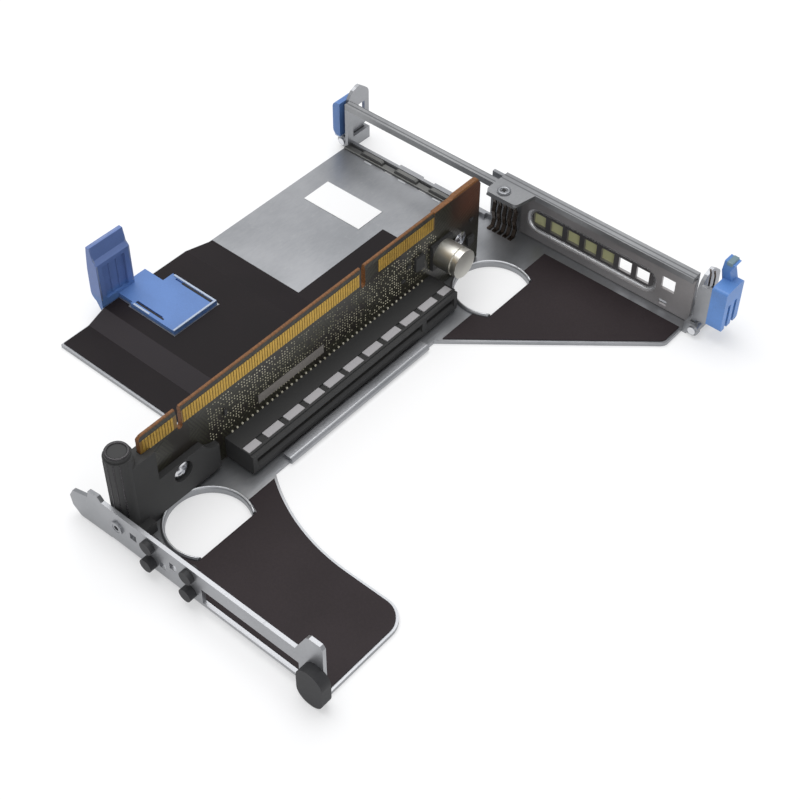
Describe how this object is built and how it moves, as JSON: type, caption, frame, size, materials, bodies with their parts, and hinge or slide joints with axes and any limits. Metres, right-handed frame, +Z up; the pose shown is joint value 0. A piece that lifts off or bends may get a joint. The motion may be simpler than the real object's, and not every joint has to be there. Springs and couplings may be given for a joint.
{
  "type": "riser cage bracket",
  "caption": "Folded steel riser cage for a flat server, with an upright riser board, a card slot, a slot cover, card latches, insulating films and a touch handle.",
  "frame": {"origin": "underside of the tray, below the board's card-side face, midway along the card slot", "axes": "+X from the board towards the card bay and wings, +Y from the front flange to the slot wall, +Z up from the tray"},
  "size_m": [0.1537, 0.1836, 0.0336],
  "materials": {
    "steel": "zinc plated, satin",
    "bright_steel": "zinc plated, brighter fold",
    "screw_steel": "polished",
    "can_metal": "drawn can, semi-gloss",
    "gold": "gold plated contact",
    "tin": "tinned",
    "film": "matte insulating film",
    "tinted_film": "pale yellow film",
    "black_plastic": "moulded, fine texture",
    "grey_plastic": "matte",
    "blue_plastic": "moulded touch point",
    "rubber": "moulded bumper",
    "board": "solder mask",
    "label_paper": "blank label"
  },
  "bodies": {
    "cage": {"tray": "steel", "top_rail": "bright_steel", "cross_bar": "bright_steel", "slot_cover": "steel", "vent_backing": "tinted_film", "front_film": "film", "rear_film": "film", "flap_film": "film", "flap_label": "label_paper", "touch_handle": "blue_plastic", "riser_board": "board", "edge_contacts": "gold", "slot_housing": "black_plastic", "slot_contacts": "gold", "slot_windows": "grey_plastic", "solder_tails": "tin", "board_chips": "black_plastic", "board_label": "grey_plastic", "capacitor_can": "can_metal", "capacitor_base": "black_plastic", "board_screws": "screw_steel", "board_support": "black_plastic", "flange_bumpers": "rubber", "end_bumper": "rubber", "flange_rivet": "bright_steel", "rail_stud": "steel", "left_latch_pin": "screw_steel", "right_latch_pin": "screw_steel"},
    "left_latch": {"left_latch_plate": "steel", "left_latch_pad": "blue_plastic"},
    "right_latch": {"right_latch_plate": "steel", "right_latch_body": "blue_plastic"}
  },
  "joints": [
    {"name": "left_latch_hinge", "type": "hinge", "parent": "cage", "child": "left_latch", "pos_m": [-0.0712, 0.0886, 0.0026], "axis": [0, -1, 0], "range_deg": [0, 30]},
    {"name": "right_latch_hinge", "type": "hinge", "parent": "cage", "child": "right_latch", "pos_m": [0.0712, 0.0886, 0.0026], "axis": [0, 1, 0], "range_deg": [0, 30]}
  ]
}
